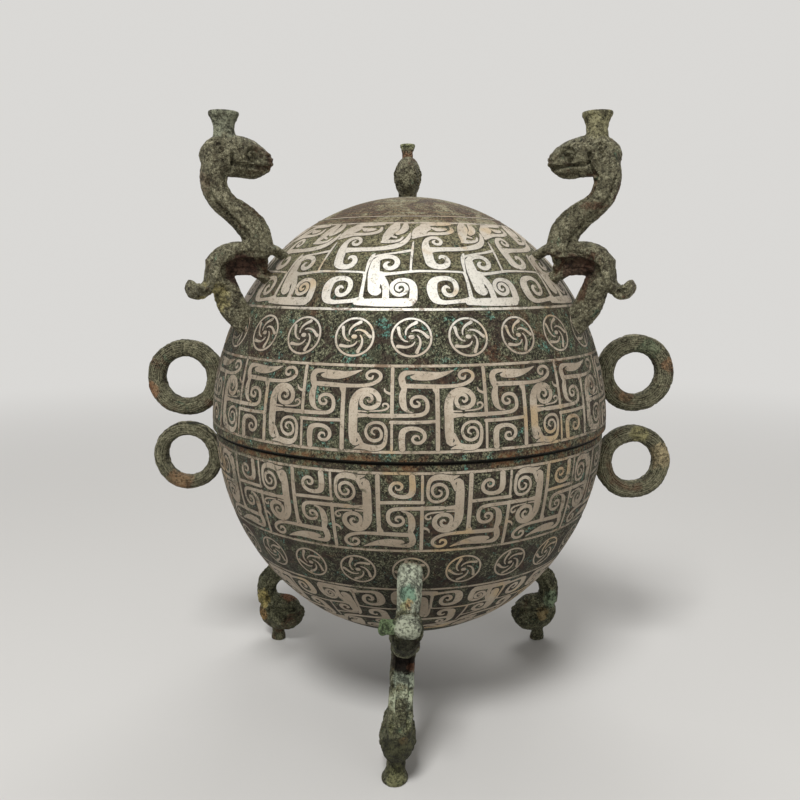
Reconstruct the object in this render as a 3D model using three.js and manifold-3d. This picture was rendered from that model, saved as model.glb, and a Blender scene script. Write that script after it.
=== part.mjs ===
// A globe-shaped ritual vessel: a bowl on three beast feet under a matching lid with
// three beast knobs. Turned over, the lid stands on its knobs as a second bowl.
// Millimetres, +Z up, soles of the feet on z = 0, the globe's axis on x = y = 0.
import * as THREE from 'three';
import { mergeVertices } from 'three/addons/utils/BufferGeometryUtils.js';
import Module from 'manifold-3d';

const wasm = await Module();
wasm.setup();

// Globe
const rimRadius = 95;
const bowlDepth = 104.5;
const bowlWall = 4.2;
const lidOverhang = 1.5;
const lidHeight = 109.2;
const lidWall = 3.6;
const rimChamfer = 0.8;
const seamGap = 0.3;
const flangeHeight = 6;
const flangeClearance = 0.6;
const turnSteps = 36;
const arcStep = 17;

// Silver border wires, each in a turned groove, placed by their distance from the seam
const wireWidth = 1.1;
const wireDepth = 0.8;
const wireClearance = 0.3;
const crownInset = 14.6;
const baseInset = 15.9;
const lidWires = {
  lid_rim_wire: 4.6,
  lid_middle_wire: 37.6,
  lid_upper_wire: 59,
  lid_crown_wire: lidHeight - crownInset,
};
const bowlWires = {
  bowl_rim_wire: 3.9,
  bowl_middle_wire: 37.7,
  bowl_lower_wire: 58.1,
  bowl_base_wire: bowlDepth - baseInset,
};

// Ring handles: each has its own level above or below the seam, distance from the axis and outer radius
const rings = {
  lid_ring_right: { half: 'lid', degrees: 0, level: 23.7, out: 112.8, outerRadius: 19.4 },
  lid_ring_left: { half: 'lid', degrees: 180, level: 21.5, out: 111.4, outerRadius: 19.1 },
  bowl_ring_right: { half: 'bowl', degrees: 0, level: 21.4, out: 113.6, outerRadius: 18.9 },
  bowl_ring_left: { half: 'bowl', degrees: 180, level: 18, out: 111.9, outerRadius: 17.3 },
};
const ringHoleRadius = 10.4;
const ringThickness = 9;
const ringRound = 1.8;
const ringSteps = 20;
const ringRootHeight = 15;

// Beast castings: three feet and three knobs from one pattern, with a stouter head at the rear
const footSeatRadius = 74;
const frontKnobSeatRadius = 74.6;
const rearKnobSeatRadius = 72;
const rearFootDegrees = 28.5;
const beastHeight = 71;
const beastUnit = 1;
const beastSides = 8;
const seatGap = 0.3;
const cupHeight = 20;
const cupFlattening = 0.86;
const cupSteps = 10;
const tailOut = 30.4;
const tailUp = -2.7;
const tailRadius = 4.9;
const tailHalf = 5.2;
const curlRadius = 3.5;
const curlReach = 11.6;
const slimCast = {
  headLong: 1, headThick: 1, headWide: 1.06, headRise: 0,
  cupCentre: 16.6, cupRadius: 6.6, cupWaist: 4.5, neckStretch: 0,
};
const stoutKnobCast = {
  headLong: 1, headThick: 1.35, headWide: 1.1, headRise: -1.3,
  cupCentre: 16.6, cupRadius: 5.2, cupWaist: 3.6, neckStretch: 3.8,
};
const stoutFootCast = {
  headLong: 0.86, headThick: 1.22, headWide: 1.1, headRise: 1.2,
  cupCentre: 15.6, cupRadius: 4.3, cupWaist: 3.4, neckStretch: 0,
};
const headMiddle = 15.6;
const neckRoot = 17;
const neckTop = 42.4;
const frontFootLean = 4.2;
const rearFootLean = 2.5;
const leanPivot = -21;

const lidRadius = rimRadius + lidOverhang;
const bowlWallHeight = heightOnWall(rimRadius, bowlDepth, footSeatRadius);
const seamLevel = bowlWallHeight + beastHeight;

const bronze = new THREE.MeshStandardMaterial({ color: 0x3b3a2c, roughness: 0.7, metalness: 0.55 });
const castBronze = new THREE.MeshStandardMaterial({ color: 0x56604a, roughness: 0.75, metalness: 0.4 });
const ringBronze = new THREE.MeshStandardMaterial({ color: 0x4c5a48, roughness: 0.7, metalness: 0.45 });
const silver = new THREE.MeshStandardMaterial({ color: 0xcfc6b4, roughness: 0.35, metalness: 0.9 });

// Distance from the seam at which an elliptical wall has the given radius
function heightOnWall(radius, height, at) {
  return height * Math.sqrt(1 - (at / radius) ** 2);
}

function radiusOnWall(radius, height, level) {
  return radius * Math.sqrt(1 - (level / height) ** 2);
}

function wallPoint(radius, height, angle) {
  return new THREE.Vector2(radius * Math.cos(angle), height * Math.sin(angle));
}

// Points of an elliptical wall from one angle to another, both ends included
function wallArc(radius, height, from, to) {
  const length = Math.abs(to - from) * (radius + height) / 2;
  const count = Math.max(1, Math.round(length / arcStep));
  const points = [];
  for (let i = 0; i <= count; i += 1) {
    points.push(wallPoint(radius, height, from + (to - from) * i / count));
  }
  return points;
}

// The four corners of a band let into the wall at one level, from the pole side to the rim side
function inletCorners(radius, height, level, width, depth) {
  const angle = Math.asin(level / height);
  const along = new THREE.Vector2(-radius * Math.sin(angle), height * Math.cos(angle));
  const halfAngle = width / 2 / along.length();
  const inward = new THREE.Vector2(-along.y, along.x).normalize();
  const poleSide = wallPoint(radius, height, angle + halfAngle);
  const rimSide = wallPoint(radius, height, angle - halfAngle);
  return [
    poleSide,
    poleSide.clone().addScaledVector(inward, depth),
    rimSide.clone().addScaledVector(inward, depth),
    rimSide,
  ];
}

// Outer wall from the pole to the rim with a groove for each wire
function groovedWall(radius, height, levels, rimAngle) {
  const width = wireWidth + 2 * wireClearance;
  const depth = wireDepth + wireClearance;
  const points = [];
  let from = Math.PI / 2;
  for (const level of [...levels].sort((a, b) => b - a)) {
    const corners = inletCorners(radius, height, level, width, depth);
    points.push(...wallArc(radius, height, from, Math.asin(corners[0].y / height)).slice(0, -1));
    points.push(...corners.slice(0, 3));
    from = Math.asin(corners[3].y / height);
  }
  points.push(...wallArc(radius, height, from, rimAngle));
  points[0].x = 0;
  return points;
}

// Turns a profile of (radius, distance from the seam) about Z
function turned(profile, steps) {
  const geometry = new THREE.LatheGeometry(profile, steps);
  geometry.rotateX(Math.PI / 2);
  return geometry;
}

// A closed geometry as a solid, with its faces turned outwards
function solid(geometry) {
  const plain = geometry.clone();
  plain.deleteAttribute('normal');
  plain.deleteAttribute('uv');
  const merged = mergeVertices(plain, 1e-4);
  const places = merged.attributes.position.array;
  const corners = [];
  const index = merged.index.array;
  for (let i = 0; i < index.length; i += 3) {
    const [a, b, c] = [index[i], index[i + 1], index[i + 2]];
    if (a !== b && b !== c && c !== a) {
      corners.push(a, b, c);
    }
  }
  const point = (i) => new THREE.Vector3().fromArray(places, 3 * i);
  let volume = 0;
  for (let i = 0; i < corners.length; i += 3) {
    const [a, b, c] = [point(corners[i]), point(corners[i + 1]), point(corners[i + 2])];
    volume += a.dot(b.cross(c));
  }
  if (volume < 0) {
    corners.reverse();
  }
  return new wasm.Manifold(new wasm.Mesh({
    numProp: 3,
    vertProperties: new Float32Array(places),
    triVerts: new Uint32Array(corners),
  }));
}

function geometryOf(body) {
  const mesh = body.getMesh();
  const geometry = new THREE.BufferGeometry();
  geometry.setAttribute('position', new THREE.BufferAttribute(new Float32Array(mesh.vertProperties), 3));
  geometry.setIndex(new THREE.BufferAttribute(new Uint32Array(mesh.triVerts), 1));
  return geometry;
}

const vessel = new THREE.Group();

function place(name, body, material) {
  const geometry = geometryOf(body).toNonIndexed();
  geometry.computeVertexNormals();
  const mesh = new THREE.Mesh(geometry, material);
  mesh.name = name;
  vessel.add(mesh);
}

// Lid-side forms are built with the seam at zero and the pole up, bowl-side forms are turned over
const lidPlace = new THREE.Matrix4().makeTranslation(0, 0, seamLevel + seamGap);
const bowlPlace = new THREE.Matrix4()
  .makeTranslation(0, 0, seamLevel)
  .multiply(new THREE.Matrix4().makeRotationX(Math.PI));

// Lid: a plain rim that drops over the bowl's flange
function lidProfile() {
  const rimAngle = Math.asin(rimChamfer / lidHeight);
  const inner = wallArc(lidRadius - lidWall, lidHeight - lidWall, 0, Math.PI / 2);
  inner.at(-1).x = 0;
  return [
    ...groovedWall(lidRadius, lidHeight, Object.values(lidWires), rimAngle),
    new THREE.Vector2(lidRadius - rimChamfer, 0),
    ...inner,
  ];
}

// Bowl: its inner edge stands up past the rim as a flange that centres the lid
function bowlProfile() {
  const rimAngle = Math.asin(rimChamfer / bowlDepth);
  const innerRadius = rimRadius - bowlWall;
  const lidInside = radiusOnWall(lidRadius - lidWall, lidHeight - lidWall, flangeHeight);
  const flangeRadius = lidInside - flangeClearance;
  const inner = wallArc(innerRadius, bowlDepth - bowlWall, 0, Math.PI / 2);
  inner.at(-1).x = 0;
  return [
    ...groovedWall(rimRadius, bowlDepth, Object.values(bowlWires), rimAngle),
    new THREE.Vector2(rimRadius - rimChamfer, 0),
    new THREE.Vector2(flangeRadius, 0),
    new THREE.Vector2(flangeRadius, -flangeHeight),
    new THREE.Vector2(innerRadius, -flangeHeight),
    ...inner,
  ];
}

function wireProfile(radius, height, level) {
  const corners = inletCorners(radius, height, level, wireWidth, wireDepth);
  return [...corners, corners[0]];
}

// The outside of a half without its grooves, a seat gap larger, which trims what is soldered to it
function trimmer(radius, height, levels, matrix) {
  const arc = groovedWall(radius, height, levels, 0)
    .filter(({ x, y }) => Math.abs((x / radius) ** 2 + (y / height) ** 2 - 1) < 1e-6)
    .map(({ x, y }) => new THREE.Vector2(x * (1 + seatGap / radius), y * (1 + seatGap / height)));
  return solid(turned([...arc, new THREE.Vector2(0, 0)], turnSteps).applyMatrix4(matrix));
}

// A closed body through stations of (out, up, half thickness, half width), rounded across,
// which count in the given unit
function loft(stations, rings, unit = 1) {
  const vector = (x, y, z) => new THREE.Vector3(x, y, z).multiplyScalar(unit);
  const spine = new THREE.CatmullRomCurve3(stations.map(([out, up]) => vector(out, 0, up)));
  const sizes = new THREE.CatmullRomCurve3(stations.map(([, , thick, wide]) => vector(thick, wide, 0)));
  const places = [];
  for (let i = 0; i <= rings; i += 1) {
    const centre = spine.getPoint(i / rings);
    const tangent = spine.getTangent(i / rings);
    const size = sizes.getPoint(i / rings);
    for (let k = 0; k < beastSides; k += 1) {
      const angle = 2 * Math.PI * (k + 0.5) / beastSides;
      const thick = size.x * Math.cos(angle);
      places.push(
        centre.x - tangent.z * thick,
        size.y * Math.sin(angle),
        centre.z + tangent.x * thick,
      );
    }
  }
  const index = [];
  for (let i = 0; i < rings; i += 1) {
    for (let k = 0; k < beastSides; k += 1) {
      const a = i * beastSides + k;
      const b = i * beastSides + (k + 1) % beastSides;
      index.push(a, b, b + beastSides, a, b + beastSides, a + beastSides);
    }
  }
  const last = rings * beastSides;
  for (let k = 1; k < beastSides - 1; k += 1) {
    index.push(0, k + 1, k, last, last + k, last + k + 1);
  }
  const geometry = new THREE.BufferGeometry();
  geometry.setAttribute('position', new THREE.Float32BufferAttribute(places, 3));
  geometry.setIndex(index);
  return geometry;
}

// The flared cup on the beast's head, which ends in a flat sole
function cup({ cupCentre, cupRadius, cupWaist, neckStretch }) {
  const flare = cupRadius - cupWaist;
  const profile = [
    [0, 0], [cupWaist, 0.1], [cupWaist, 0.64], [cupWaist + 0.5 * flare, 0.82],
    [cupRadius, 0.94], [cupRadius - 0.2 * flare, 1], [0, 1],
  ].map(([radius, share]) => new THREE.Vector2(radius, beastHeight + neckStretch - cupHeight * (1 - share)));
  return turned(profile, cupSteps).scale(1, cupFlattening, 1).translate(cupCentre, 0, 0);
}

// The rolled tail, which runs across the beast and curls out past one side
function tail() {
  const profile = [
    [0, -tailHalf], [0.7 * tailRadius, 0.2 - tailHalf], [tailRadius, -0.6 * tailHalf], [tailRadius, 0.4 * tailHalf],
    [curlRadius, tailHalf], [curlRadius, curlReach - 0.6 * curlRadius], [0.6 * curlRadius, curlReach], [0, curlReach],
  ].map(([radius, across]) => new THREE.Vector2(radius, across));
  return new THREE.LatheGeometry(profile, beastSides).translate(tailOut, 0, tailUp);
}

// One beast, its seat on the wall at the origin: out is X, away from the seam is Z
function beast(cast) {
  const headUp = beastHeight / beastUnit - 20;
  const body = [
    [-0.5, 8.6, 5.6, 5], [7.5, 9.8, 7, 6.4], [15.5, 9.6, 7.3, 6.7],
    [21.2, 5.8, 6.3, 6.4], [25.6, 0.8, 5.2, 5.6], [28.8, -2.6, 4.6, 5],
  ];
  const strap = [[4, 14.6, 2.4, 5.2], [-3, 14.3, 2.2, 4.4], [-8.6, 11.6, 2.2, 3.6], [-13, 7.4, 2.4, 3.2]];
  const lug = [[5, 6, 3.4, 4.6], [0, 2.2, 3, 4.2], [-4, -1.6, 3, 4]];
  const leg = [[20, 3, 5.2, 4.8], [18, -4, 5.8, 5], [15.3, -10.6, 6.2, 5.1], [10, -17.6, 5.8, 5.2], [6, -22, 5.6, 5.2]];
  const neck = [
    [1.6, 11, 6.2, 6], [2.8, 17, 6.6, 5.8], [4.6, 22.4, 6.6, 5.4], [10.4, 28, 6, 5.2], [16.2, 32.2, 5.3, 5.1],
    [20.4, 36.8, 5.6, 5.1], [22, 42.4, 5.7, 5.4], [21, headUp - 2, 6, 6],
  ];
  const head = [
    [26.6, headUp + 0.2, 3, 3.4], [23.4, headUp + 1, 6.4, 6], [17, headUp + 2.2, 8.6, 7], [10.5, headUp + 1.9, 8.6, 7.2],
    [4.6, headUp + 0.8, 8, 6.4], [0, headUp + 0.1, 6.1, 5.4], [-3.2, headUp - 0.5, 3.2, 3.8],
  ].map(([out, up, thick, wide]) => [
    headMiddle + (out - headMiddle) * cast.headLong, up + cast.headRise, thick * cast.headThick, wide * cast.headWide,
  ]);
  const stretched = ([out, up, ...size]) => {
    const share = THREE.MathUtils.clamp((up - neckRoot) / (neckTop - neckRoot), 0, 1);
    return [out, up + share * cast.neckStretch, ...size];
  };
  const parts = [
    loft(body, 5, beastUnit), loft(strap, 2, beastUnit), loft(lug, 1, beastUnit), loft(leg, 3, beastUnit),
    loft(neck.map(stretched), 7, beastUnit), loft(head.map(stretched), 5, beastUnit), tail(), cup(cast),
  ];
  return geometryOf(parts.map(solid).reduce((whole, part) => whole.add(part)));
}

// A ring cast in one with the short root that holds it to the wall
function ring(outerRadius) {
  const half = ringThickness / 2;
  const section = [
    [ringHoleRadius, half - ringRound], [ringHoleRadius + ringRound, half],
    [outerRadius - ringRound, half], [outerRadius, half - ringRound],
    [outerRadius, ringRound - half], [outerRadius - ringRound, -half],
    [ringHoleRadius + ringRound, -half], [ringHoleRadius, ringRound - half],
    [ringHoleRadius, half - ringRound],
  ].map(([radius, across]) => new THREE.Vector2(radius, across));
  const hoop = new THREE.LatheGeometry(section, ringSteps);
  const rootHalf = ringRootHeight / 2;
  const root = loft([
    [-outerRadius - 5, 0, rootHalf + 1.5, half], [-outerRadius, 0, rootHalf, half - 0.4],
    [(-outerRadius - ringHoleRadius) / 2, 0, rootHalf - 1.5, half - 0.8],
  ], 4);
  return geometryOf(solid(hoop).add(solid(root)));
}

const halves = {
  lid: { radius: lidRadius, height: lidHeight, matrix: lidPlace, wires: lidWires },
  bowl: { radius: rimRadius, height: bowlDepth, matrix: bowlPlace, wires: bowlWires },
};
for (const half of Object.values(halves)) {
  half.trim = trimmer(half.radius, half.height, Object.values(half.wires), half.matrix);
}

// Leans a beast to one side and inwards from the root of its leg, with its sole kept level
function leaning(aside, inwards) {
  const across = Math.tan(THREE.MathUtils.degToRad(aside));
  const back = -Math.tan(THREE.MathUtils.degToRad(inwards));
  return new THREE.Matrix4().set(
    1, 0, back, -back * leanPivot,
    0, 1, across, -across * leanPivot,
    0, 0, 1, 0,
    0, 0, 0, 1,
  );
}

// Sets a form that was built about a seat on the wall at its compass place on one half
function seated(form, half, out, up, degrees) {
  const turn = new THREE.Matrix4().makeRotationZ(THREE.MathUtils.degToRad(degrees));
  const seat = new THREE.Matrix4().makeTranslation(out, 0, up);
  const placed = form.clone().applyMatrix4(seat).applyMatrix4(half.matrix).applyMatrix4(turn);
  return solid(placed).subtract(half.trim);
}

place('bowl', solid(turned(bowlProfile(), turnSteps).applyMatrix4(bowlPlace)), bronze);
place('lid', solid(turned(lidProfile(), turnSteps).applyMatrix4(lidPlace)), bronze);

for (const half of Object.values(halves)) {
  for (const [name, level] of Object.entries(half.wires)) {
    const profile = wireProfile(half.radius, half.height, level);
    place(name, solid(turned(profile, turnSteps).applyMatrix4(half.matrix)), silver);
  }
}

const beasts = [
  ['foot_front', halves.bowl, -90, footSeatRadius, slimCast, frontFootLean, 0],
  ['foot_rear_right', halves.bowl, rearFootDegrees, footSeatRadius, stoutFootCast, 0, rearFootLean],
  ['foot_rear_left', halves.bowl, 180 - rearFootDegrees, footSeatRadius, stoutFootCast, 0, rearFootLean],
  ['knob_rear', halves.lid, 90, rearKnobSeatRadius, stoutKnobCast, 0, 0],
  ['knob_front_right', halves.lid, -30, frontKnobSeatRadius, slimCast, 0, 0],
  ['knob_front_left', halves.lid, -150, frontKnobSeatRadius, slimCast, 0, 0],
];
for (const [name, half, degrees, seatRadius, cast, aside, inwards] of beasts) {
  const up = heightOnWall(half.radius, half.height, seatRadius);
  const form = beast(cast).applyMatrix4(leaning(aside, inwards));
  place(name, seated(form, half, seatRadius, up, degrees), castBronze);
}

for (const [name, { half, degrees, level, out, outerRadius }] of Object.entries(rings)) {
  place(name, seated(ring(outerRadius), halves[half], out, level, degrees), ringBronze);
}

export default vessel;
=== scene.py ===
"""A globe-shaped bronze vessel with silver inlay, dressed around its packed construction."""

import math

import bmesh
import bpy
import numpy as np
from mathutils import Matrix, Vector, noise


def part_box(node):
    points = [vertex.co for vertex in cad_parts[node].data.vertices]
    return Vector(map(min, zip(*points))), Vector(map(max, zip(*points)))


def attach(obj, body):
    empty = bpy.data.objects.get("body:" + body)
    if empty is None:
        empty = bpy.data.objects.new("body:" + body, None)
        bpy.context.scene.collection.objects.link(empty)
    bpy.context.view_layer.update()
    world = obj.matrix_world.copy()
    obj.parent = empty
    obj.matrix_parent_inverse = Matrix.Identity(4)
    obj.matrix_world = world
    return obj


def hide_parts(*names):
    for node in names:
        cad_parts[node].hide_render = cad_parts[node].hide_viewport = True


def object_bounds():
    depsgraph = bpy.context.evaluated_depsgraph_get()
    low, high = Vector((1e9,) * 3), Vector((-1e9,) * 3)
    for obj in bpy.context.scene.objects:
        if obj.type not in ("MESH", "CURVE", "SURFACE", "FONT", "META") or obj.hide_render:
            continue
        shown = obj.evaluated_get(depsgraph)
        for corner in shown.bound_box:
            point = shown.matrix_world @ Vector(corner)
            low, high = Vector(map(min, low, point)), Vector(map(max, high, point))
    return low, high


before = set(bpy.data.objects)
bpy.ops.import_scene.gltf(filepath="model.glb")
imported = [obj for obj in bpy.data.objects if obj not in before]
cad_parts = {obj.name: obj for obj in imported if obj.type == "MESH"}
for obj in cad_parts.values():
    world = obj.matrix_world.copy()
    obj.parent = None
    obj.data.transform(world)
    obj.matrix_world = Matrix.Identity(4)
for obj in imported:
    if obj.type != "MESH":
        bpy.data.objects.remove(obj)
cad_low, cad_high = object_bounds()

MM = 0.001

# Sizes of the globe, read off the construction
lid_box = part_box("lid")
bowl_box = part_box("bowl")
LID_RADIUS = lid_box[1].x
LID_SEAM = lid_box[0].z
LID_HEIGHT = lid_box[1].z - LID_SEAM
BOWL_RADIUS = bowl_box[1].x
SEAM_GAP = 0.3 * MM
BOWL_SEAM = LID_SEAM - SEAM_GAP
BOWL_DEPTH = BOWL_SEAM - bowl_box[0].z
LID_WALL = 3.6 * MM
BOWL_WALL = 4.2 * MM
FLANGE_HEIGHT = bowl_box[1].z - BOWL_SEAM
FLANGE_CLEARANCE = 0.6 * MM
RIM_CHAMFER = 0.8 * MM
TURN_STEPS = 288


def linked(name, data):
    """A new object in the scene."""
    obj = bpy.data.objects.new(name, data)
    bpy.context.scene.collection.objects.link(obj)
    return obj


def scaled(values, share):
    """A colour or a place times a share."""
    return tuple(value * share for value in values)


def around(count):
    """The angles of equal steps round a full turn."""
    return [2 * math.pi * k / count for k in range(count)]


def directions(path):
    """Unit directions along a path of points."""
    ways = np.gradient(path, axis=0)
    return ways / np.linalg.norm(ways, axis=1)[:, None]


def eased(value, low, high):
    """0 at low, 1 at high, smooth between, for arrays."""
    share = np.clip((value - low) / (high - low), 0, 1)
    return share * share * (3 - 2 * share)


class Half:
    """One half of the globe: places are given by azimuth and by angle up its wall from the seam."""

    def __init__(self, name, body, radius, height, seam, side):
        self.name = name
        self.body = body
        self.radius = radius
        self.height = height
        self.seam = seam
        self.side = side

    def section(self, angle, lift=0.0):
        """Radius and distance from the seam of a point on the wall, raised by lift."""
        out, up = math.cos(angle) / self.radius, math.sin(angle) / self.height
        size = math.hypot(out, up)
        return (
            self.radius * math.cos(angle) + lift * out / size,
            self.height * math.sin(angle) + lift * up / size,
        )

    def place(self, radius, level, azimuth):
        """A point in the frame. The bowl is the lid's form turned over about X."""
        return (
            radius * math.cos(azimuth),
            self.side * radius * math.sin(azimuth),
            self.seam + self.side * level,
        )

    def angle_at(self, level):
        return math.asin(level / self.height)


LID = Half("lid", "lid_body", LID_RADIUS, LID_HEIGHT, LID_SEAM, 1)
BOWL = Half("bowl", "bowl_body", BOWL_RADIUS, BOWL_DEPTH, BOWL_SEAM, -1)


def wire_levels(half, *places):
    """How far from the seam each of a half's border wires runs."""
    levels = {}
    for place in places:
        node = f"{half.name}_{place}_wire"
        low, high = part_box(node)
        levels[node] = half.side * ((low.z + high.z) / 2 - half.seam)
    return levels


LID_WIRES = wire_levels(LID, "rim", "middle", "upper", "crown")
BOWL_WIRES = wire_levels(BOWL, "rim", "middle", "lower", "base")
WIRE_WIDTH = 1.1 * MM
WIRE_DEPTH = 0.8 * MM
WIRE_CLEARANCE = 0.12 * MM


class Value:
    """A shader socket that can be added to, scaled and otherwise used as a number."""

    def __init__(self, maker, socket):
        self.maker = maker
        self.socket = socket

    def math(self, operation, *others):
        inputs = {i + 1: o for i, o in enumerate(others)}
        return self.maker.node("ShaderNodeMath", {"operation": operation}, {0: self, **inputs})

    def __add__(self, other):
        return self.math("ADD", other)

    __radd__ = __add__

    def __sub__(self, other):
        return self.math("SUBTRACT", other)

    def __rsub__(self, other):
        return self.maker.node("ShaderNodeMath", {"operation": "SUBTRACT"}, {0: other, 1: self})

    def __mul__(self, other):
        return self.math("MULTIPLY", other)

    __rmul__ = __mul__

    def __truediv__(self, other):
        return self.math("DIVIDE", other)


class Maker:
    """Builds the nodes of one material, or of the world."""

    def __init__(self, owner, shader="Principled BSDF"):
        self.owner = owner
        owner.use_nodes = True
        self.tree = owner.node_tree
        self.shader = self.tree.nodes[shader]

    def node(self, kind, settings=None, inputs=None, output=0):
        node = self.tree.nodes.new(kind)
        for key, value in (settings or {}).items():
            if key == "stops":
                ramp = node.color_ramp
                while len(ramp.elements) < len(value):
                    ramp.elements.new(0.5)
                for element, (place, colour) in zip(ramp.elements, value):
                    element.position = place
                    element.color = (*colour, 1)
            else:
                setattr(node, key, value)
        for key, value in (inputs or {}).items():
            self.feed(node.inputs[key], value)
        return Value(self, node.outputs[output])

    def feed(self, socket, value):
        if isinstance(value, Value):
            self.tree.links.new(value.socket, socket)
        elif isinstance(value, tuple) and len(value) == 3 and socket.type == "RGBA":
            socket.default_value = (*value, 1)
        else:
            socket.default_value = value

    def place(self):
        return self.node("ShaderNodeTexCoord", output=3)

    def along(self, axis):
        """How far each point lies along X, Y or Z, for an axis of 0, 1 or 2."""
        return self.node("ShaderNodeSeparateXYZ", inputs={0: self.place()}, output=axis)

    def distance(self, centre):
        """How far each point lies from a place."""
        inputs = {0: self.place(), 1: centre}
        return self.node("ShaderNodeVectorMath", {"operation": "DISTANCE"}, inputs, output=1)

    def zone(self, centre, radius, ragged):
        """1 within radius of a point, 0 well outside it, with an edge that noise makes ragged."""
        return self.band(self.distance(centre) / radius + 1.6 * ragged, 1.9, 1.55)

    def noise(self, scale, detail=6.0, roughness=0.6, distortion=0.0):
        return self.node(
            "ShaderNodeTexNoise",
            inputs={
                "Vector": self.place(),
                "Scale": scale,
                "Detail": detail,
                "Roughness": roughness,
                "Distortion": distortion,
            },
        )

    def lines(self, along, detail):
        """Noise of a single value, which draws lines where that value is even."""
        return self.node("ShaderNodeTexNoise", {"noise_dimensions": "1D"}, {"W": along, "Detail": detail})

    def band(self, value, low, high):
        """0 below low, 1 above high, smooth between."""
        return self.node(
            "ShaderNodeMapRange",
            {"interpolation_type": "SMOOTHSTEP"},
            {"Value": value, "From Min": low, "From Max": high},
        )

    def mix(self, share, first, second):
        return self.node(
            "ShaderNodeMix",
            {"data_type": "RGBA"},
            {0: share, 6: first, 7: second},
            output=2,
        )

    def blend(self, value, low, high, first, second, share=1):
        """One colour below low, a share of another above high, smooth between."""
        return self.mix(self.band(value, low, high) * share, first, second)

    def ramp(self, value, *stops):
        return self.node("ShaderNodeValToRGB", {"stops": stops}, {0: value})

    def bump(self, height, strength, distance, under=None):
        inputs = {"Strength": strength, "Distance": distance, "Height": height}
        if under is not None:
            inputs["Normal"] = under
        return self.node("ShaderNodeBump", inputs=inputs)

    def finish(self, **sockets):
        for name, value in sockets.items():
            self.feed(self.shader.inputs[name.replace("_", " ")], value)
        return self.owner

    def seen_as(self, kind, share, output):
        """Shows a plain surface of the backdrop's colour, at most by a share, to rays that see it."""
        straight, glossy = (self.node("ShaderNodeLightPath", output=i) for i in (0, 3))
        plain = self.node(kind, inputs={"Color": BACKDROP_COLOUR})
        lit = Value(self, self.shader.outputs[0])
        inputs = {0: straight.math("MAXIMUM", glossy) * share, 1: lit, 2: plain}
        either = self.node("ShaderNodeMixShader", inputs=inputs)
        self.feed(self.tree.nodes[output].inputs["Surface"], either)


RED_OXIDE = (0.13, 0.05, 0.027)
MALACHITE = (0.08, 0.22, 0.14)
# Near black: the colour of pits, and of the painted shade low on the bowl
PIT_AND_SHADE = (0.009, 0.008, 0.005)
CHOCOLATE = (0.04, 0.025, 0.019)
TURQUOISE = (0.13, 0.36, 0.29)
OLIVE_DUST = (0.22, 0.2, 0.11)
RIM_RUST = (0.17, 0.08, 0.035)
DOME_CRUST = (0.37, 0.36, 0.23)


def streaked(m, colour, centres, pale):
    """Fine circular streaks about the nearest of some centres, as on a turned or worn ring."""
    away = m.distance(centres[0])
    for centre in centres[1:]:
        away = away.math("MINIMUM", m.distance(centre))
    lines = m.lines(away * 800 + m.noise(50, 3, 0.6) * 1.2, 3.0)
    colour = m.blend(lines, 0.53, 0.62, colour, pale, 0.75)
    return m.blend(lines, 0.44, 0.34, colour, PIT_AND_SHADE, 0.7)


def patinated_bronze(name, dark, green, pale, metallic, zones=(), globe=False, turned_about=()):
    """Buried bronze: a dark tin-rich skin crusted green, peppered with pale grains and dark pits."""
    m = Maker(bpy.data.materials.new(name))
    broad = m.noise(26, 5, 0.6, 0.4)
    lumps = m.noise(210, 5, 0.7, 0.5)
    grain = m.noise(800, 4, 0.75, 0.2)
    sand = m.noise(1500, 3, 0.85)
    if globe:
        crust = lumps * 0.16 + grain * 0.36 + sand * 0.48
        stops, pitted, depth = (0.45, 0.485, 0.525, 0.565), 0.9, 1.6 * MM
    else:
        crust = lumps * 0.3 + grain * 0.34 + sand * 0.36
        stops, pitted, depth = (0.41, 0.463, 0.516, 0.59), 0.6, 3 * MM
    colour = m.ramp(crust, *zip(stops, (scaled(dark, 0.25), dark, green, pale)))
    colour = m.blend(broad, 0.46, 0.62, colour, green, 0.3)
    if not globe:
        colour = m.blend(m.noise(330, 4, 0.7, 0.4), 0.5, 0.38, colour, scaled(dark, 0.35), 0.5)
    red = m.blend(grain, 0.42, 0.62, scaled(RED_OXIDE, 0.45), RED_OXIDE)
    colour = m.blend(m.noise(52, 5, 0.7, 0.8), 0.55, 0.66, colour, red, 0.7)
    if globe:
        colour = banded(m, colour, crust, grain)
    malachite = m.blend(grain, 0.4, 0.6, scaled(MALACHITE, 0.5), MALACHITE)
    colour = m.blend(m.noise(120, 6, 0.8, 0.6), 0.6, 0.68, colour, malachite, 0.55)
    if turned_about:
        colour = streaked(m, colour, turned_about, pale)
    uneven = lumps * 0.4 + crust * 0.6
    # Zones of crust, and on the feet and knobs also painted light on lit faces and painted shade on faces
    # turned down or hollowed
    for centre, radius, tint, share in zones:
        spot = m.zone(scaled(centre, MM), radius * MM, m.noise(240, 5, 0.75))
        brightest = tuple(min(0.8, c) for c in scaled(tint, 1.35))
        coarse = m.blend(uneven, 0.44, 0.54, scaled(tint, 0.35), brightest)
        colour = m.mix(spot * share, colour, coarse)
    hollow = m.band(m.noise(900, 3, 0.7, 0.3), 0.45, 0.36)
    colour = m.mix(hollow * pitted, colour, PIT_AND_SHADE)
    height = lumps * 0.5 + grain * 0.35 + sand * 0.15 - hollow * 0.3
    normal = m.bump(height, 1.0, depth, m.bump(broad, 0.5, 1.2 * MM))
    return m.finish(
        Base_Color=colour,
        Metallic=metallic,
        Roughness=0.55 + 0.3 * grain,
        Specular_IOR_Level=0.22,
        Normal=normal,
    )


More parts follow.
